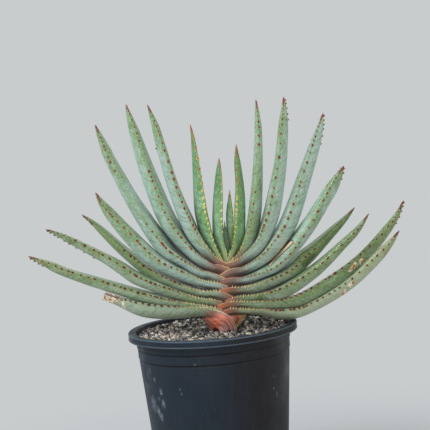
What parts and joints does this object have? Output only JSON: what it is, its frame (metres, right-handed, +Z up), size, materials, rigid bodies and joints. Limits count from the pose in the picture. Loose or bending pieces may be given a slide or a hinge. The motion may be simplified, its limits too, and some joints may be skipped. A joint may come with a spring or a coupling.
{
  "type": "potted aloe",
  "caption": "Fan-shaped aloe with toothed, upcurved leaves in two ranks on a short stem, standing in grit in a plain black nursery pot.",
  "frame": {"origin": "middle of the flat underside of the pot", "axes": "+Z up along the pot's axis, X along the fan of leaves, -Y towards the viewer of the picture"},
  "size_m": [0.379, 0.169, 0.391],
  "materials": {
    "black_polypropylene": "semi-matt black with dusty scuffs and a few lime marks",
    "dark_grit": "loose angular grit, dark grey with a few pale tan grains",
    "stem_sheath": "orange-red leaf sheaths with dark red seams, paler at the soil",
    "olive_leaf": "satin olive green with a thin bloom and dark red teeth",
    "grey_green_leaf": "matt blue-green bloom with faint blotches and dark red teeth",
    "fresh_green_leaf": "satin fresh green with orange teeth"
  },
  "bodies": {
    "root": {"pot": "black_polypropylene", "soil": "dark_grit", "stem": "stem_sheath", "leaf_left_01": "olive_leaf", "leaf_left_02": "olive_leaf", "leaf_left_03": "olive_leaf", "leaf_left_04": "olive_leaf", "leaf_left_05": "grey_green_leaf", "leaf_left_06": "grey_green_leaf", "leaf_left_07": "grey_green_leaf", "leaf_left_08": "grey_green_leaf", "leaf_left_09": "fresh_green_leaf", "leaf_left_10": "fresh_green_leaf", "leaf_spear": "fresh_green_leaf", "leaf_bud": "fresh_green_leaf", "leaf_right_01": "olive_leaf", "leaf_right_02": "olive_leaf", "leaf_right_03": "olive_leaf", "leaf_right_04": "olive_leaf", "leaf_right_05": "grey_green_leaf", "leaf_right_06": "grey_green_leaf", "leaf_right_07": "grey_green_leaf", "leaf_right_08": "grey_green_leaf", "leaf_right_09": "fresh_green_leaf"}
  },
  "joints": []
}
